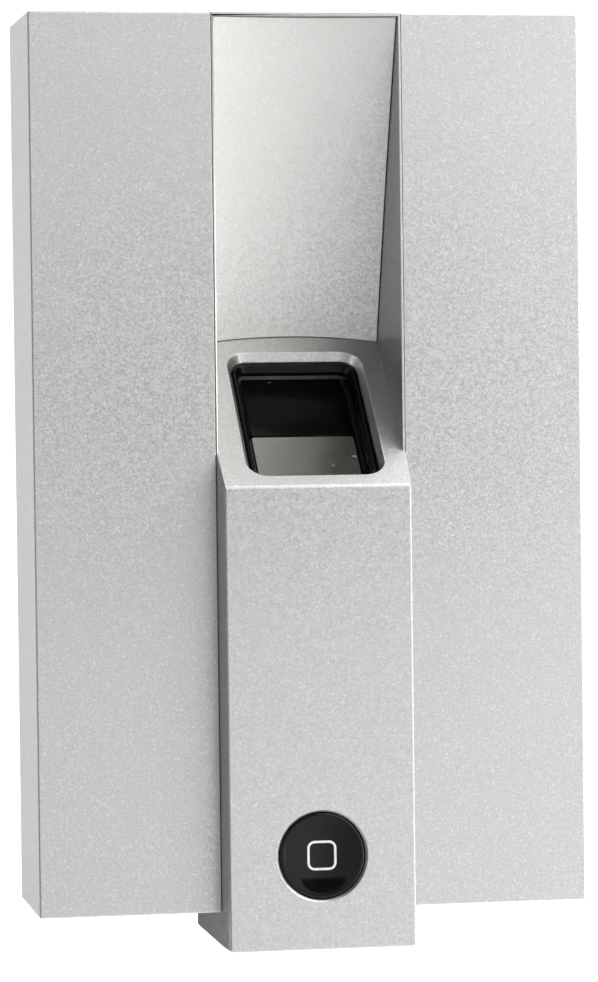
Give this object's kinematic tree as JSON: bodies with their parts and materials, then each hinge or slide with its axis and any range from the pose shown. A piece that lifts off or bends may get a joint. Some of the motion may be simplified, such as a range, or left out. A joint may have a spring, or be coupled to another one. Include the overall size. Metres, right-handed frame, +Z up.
{
  "type": "fingerprint access terminal",
  "caption": "Wall-mounted fingerprint access terminal in a silver metal case, with a finger channel leading to a slanted optical sensor window and a round push button on a raised column.",
  "frame": {"origin": "centre of the case outline on the wall face, which is the plane Y = 0", "axes": "+Z up the wall, +Y into the wall, +X to the right of a viewer who faces the terminal"},
  "size_m": [0.07, 0.0251, 0.117],
  "materials": {
    "silver_paint": "fine metallic silver powder coat over a zinc die casting, satin",
    "channel_paint": "smooth satin silver paint",
    "zinc_steel": "zinc-plated sheet steel",
    "rubber_black": "matt black rubber",
    "screw_steel": "plated steel",
    "bezel_black": "gloss black moulding",
    "platen_clear": "polished clear glass",
    "prism_clear": "polished optical acrylic",
    "diffuser_grey": "satin grey light diffuser",
    "filter_black": "infrared-pass acrylic, black to the eye",
    "holder_black": "matt black moulding",
    "button_black": "gloss black, dished",
    "icon_grey": "light grey inlay",
    "circuit_green": "green solder mask on glass-fibre laminate",
    "led_clear": "clear resin lamp",
    "chip_black": "black epoxy package",
    "tin_plate": "bright tinned or aluminium can",
    "relay_blue": "blue moulded cover",
    "connector_ivory": "ivory nylon",
    "cable_white": "white polyester film"
  },
  "bodies": {
    "case": {"front_housing": "silver_paint", "center_column": "silver_paint", "finger_guide": "channel_paint", "rear_cover": "zinc_steel", "wall_bracket": "zinc_steel", "wall_gasket": "rubber_black", "cable_grommet": "rubber_black", "rear_cover_screw_1": "screw_steel", "rear_cover_screw_2": "screw_steel", "rear_cover_screw_3": "screw_steel", "rear_cover_screw_4": "screw_steel", "column_screw_1": "screw_steel", "column_screw_2": "screw_steel", "column_screw_3": "screw_steel", "column_screw_4": "screw_steel", "board_screw_1": "screw_steel", "board_screw_2": "screw_steel", "board_screw_3": "screw_steel", "board_screw_4": "screw_steel", "lock_screw": "screw_steel", "button_board_screw_1": "screw_steel", "button_board_screw_2": "screw_steel", "sensor_bezel": "bezel_black", "platen_glass": "platen_clear", "optical_prism": "prism_clear", "lens_upper": "prism_clear", "lens_lower": "prism_clear", "light_diffuser": "diffuser_grey", "infrared_filter": "filter_black", "sensor_cradle": "holder_black", "lens_barrel": "holder_black", "button_carrier": "holder_black", "buzzer": "holder_black", "tamper_switch": "holder_black", "led_board": "circuit_green", "sensor_board": "circuit_green", "button_board": "circuit_green", "main_board": "circuit_green", "led_1": "led_clear", "led_2": "led_clear", "led_3": "led_clear", "image_sensor": "chip_black", "processor_chip": "chip_black", "memory_chip": "chip_black", "switch_body": "tin_plate", "clock_crystal": "tin_plate", "capacitor_1": "tin_plate", "capacitor_2": "tin_plate", "door_relay": "relay_blue", "wiring_header": "connector_ivory", "sensor_socket": "connector_ivory", "button_socket": "connector_ivory", "sensor_cable": "cable_white", "button_cable": "cable_white"},
    "button": {"button_cap": "button_black", "button_icon": "icon_grey"},
    "switch_plunger": {"switch_plunger": "holder_black"},
    "tamper_plunger": {"tamper_plunger": "connector_ivory"}
  },
  "joints": [
    {"name": "button_press", "type": "slide", "parent": "case", "child": "button", "axis": [0, 1, 0], "range_m": [0, 0.0005], "stiffness_N_per_m": 2000},
    {"name": "switch_travel", "type": "slide", "parent": "case", "child": "switch_plunger", "axis": [0, 1, 0], "range_m": [0, 0.0005]},
    {"name": "tamper_press", "type": "slide", "parent": "case", "child": "tamper_plunger", "axis": [0, -1, 0], "range_m": [0, 0.0012], "stiffness_N_per_m": 400}
  ],
  "couplings": [
    {"joint": "switch_travel", "follows": "button_press", "ratio": 1}
  ]
}
